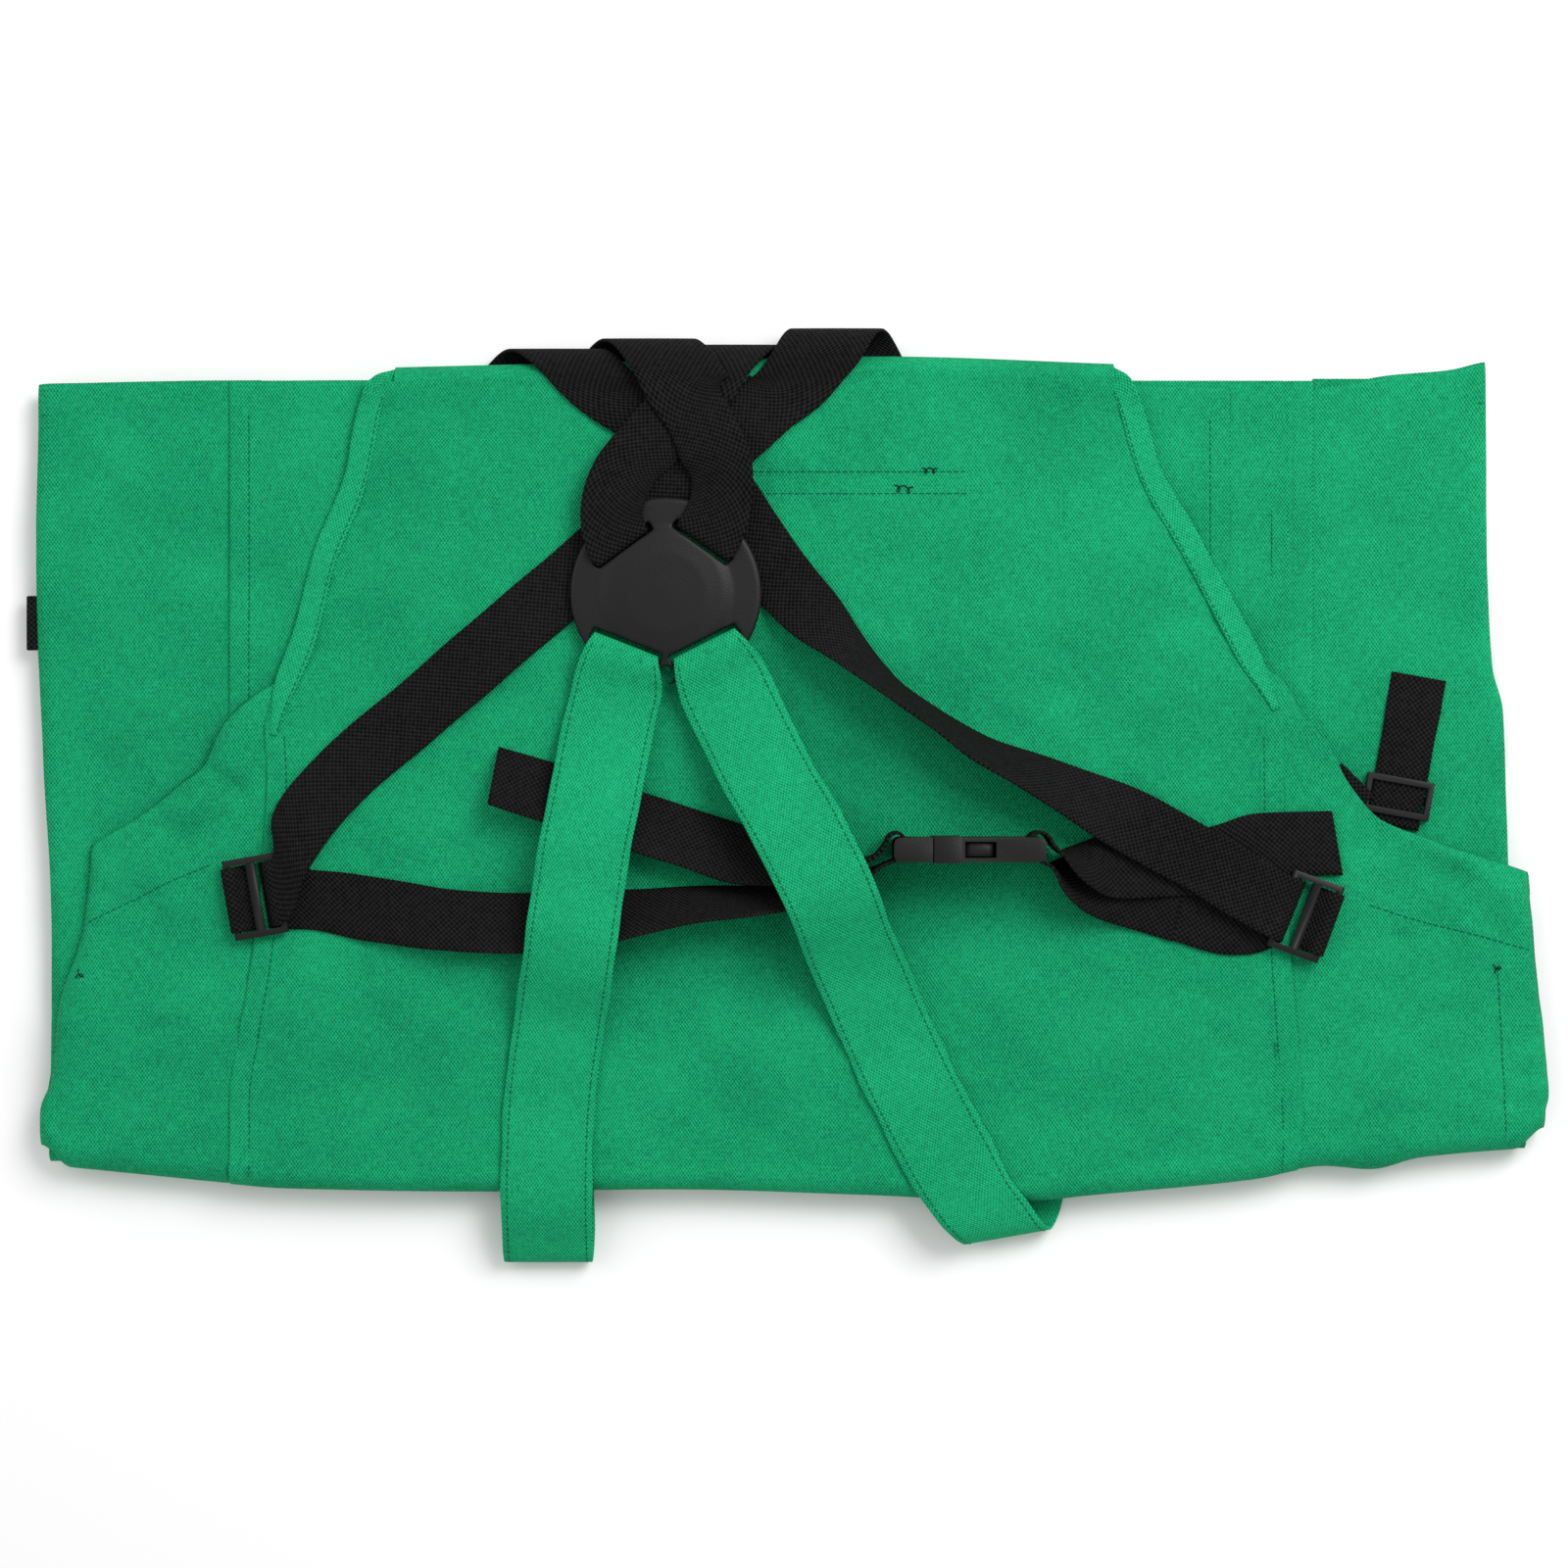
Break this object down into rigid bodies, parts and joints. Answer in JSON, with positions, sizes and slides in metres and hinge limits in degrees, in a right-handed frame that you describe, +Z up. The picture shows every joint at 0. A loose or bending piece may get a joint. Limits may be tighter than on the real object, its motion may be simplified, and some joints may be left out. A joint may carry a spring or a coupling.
{
  "type": "fruit picking bag",
  "caption": "Green canvas apron picking bag, folded and laid on its back, with its black harness, cross disc and side release buckle laid across the front",
  "frame": {"origin": "centre of the footprint, on the surface the bag lies on", "axes": "X runs across the bag from its left side to its right side as seen from above, Y runs from the pouch fold to the bib's top edge, Z is up from the surface"},
  "size_m": [0.703, 0.432, 0.0602],
  "materials": {
    "canvas": "matte",
    "band_canvas": "matte",
    "webbing": "matte",
    "black_plastic": "satin",
    "thread": "matte"
  },
  "bodies": {
    "bag": {"front_panel": "canvas", "back_panel": "canvas", "back_overlay": "canvas", "strap_anchor_patch": "canvas", "left_gusset": "canvas", "right_gusset": "canvas", "left_binding": "band_canvas", "right_binding": "band_canvas", "left_shoulder_band": "band_canvas", "right_shoulder_band": "band_canvas", "cross_disc": "black_plastic", "left_shoulder_webbing": "webbing", "right_shoulder_webbing": "webbing", "left_waist_strap": "webbing", "left_strap_tail": "webbing", "right_waist_strap": "webbing", "right_strap_tail": "webbing", "left_side_loop": "webbing", "right_side_loop": "webbing", "buckle_plug": "black_plastic", "right_closure_strap": "webbing", "right_closure_tail": "webbing", "left_closure_strap": "webbing", "left_closure_slider": "black_plastic", "thread_tacks": "thread"},
    "socket": {"buckle_socket": "black_plastic"},
    "upper_arm": {"latch_arm_upper": "black_plastic"},
    "lower_arm": {"latch_arm_lower": "black_plastic"},
    "left_adjuster_frame": {"left_adjuster": "black_plastic"},
    "right_adjuster_frame": {"right_adjuster": "black_plastic"},
    "closure_slider": {"right_closure_slider": "black_plastic"}
  },
  "joints": [
    {"name": "buckle_release", "type": "slide", "parent": "bag", "child": "socket", "axis": [1, 0, 0], "range_m": [0, 0.02], "deforming": ["right_waist_strap", "right_strap_tail"]},
    {"name": "latch_arm_upper_press", "type": "hinge", "parent": "bag", "child": "upper_arm", "pos_m": [0.062, -0.024, 0.0522], "axis": [0, 1, 0], "range_deg": [0, 8], "stiffness_Nm_per_rad": 0.1},
    {"name": "latch_arm_lower_press", "type": "hinge", "parent": "bag", "child": "lower_arm", "pos_m": [0.062, -0.024, 0.0302], "axis": [0, -1, 0], "range_deg": [0, 8], "stiffness_Nm_per_rad": 0.1},
    {"name": "left_adjuster_lift", "type": "hinge", "parent": "bag", "child": "left_adjuster_frame", "pos_m": [-0.25373, -0.04789, 0.0261], "axis": [0.1736, -0.9848, 0], "range_deg": [0, 35], "deforming": ["left_shoulder_webbing", "left_waist_strap"]},
    {"name": "right_adjuster_lift", "type": "hinge", "parent": "bag", "child": "right_adjuster_frame", "pos_m": [0.24824, -0.05873, 0.0261], "axis": [0.342, 0.9397, 0], "range_deg": [0, 35], "deforming": ["right_shoulder_webbing", "right_waist_strap"]},
    {"name": "closure_slider_slide", "type": "slide", "parent": "bag", "child": "closure_slider", "axis": [0.1775, 0.9841, 0], "range_m": [0, 0.025]}
  ]
}
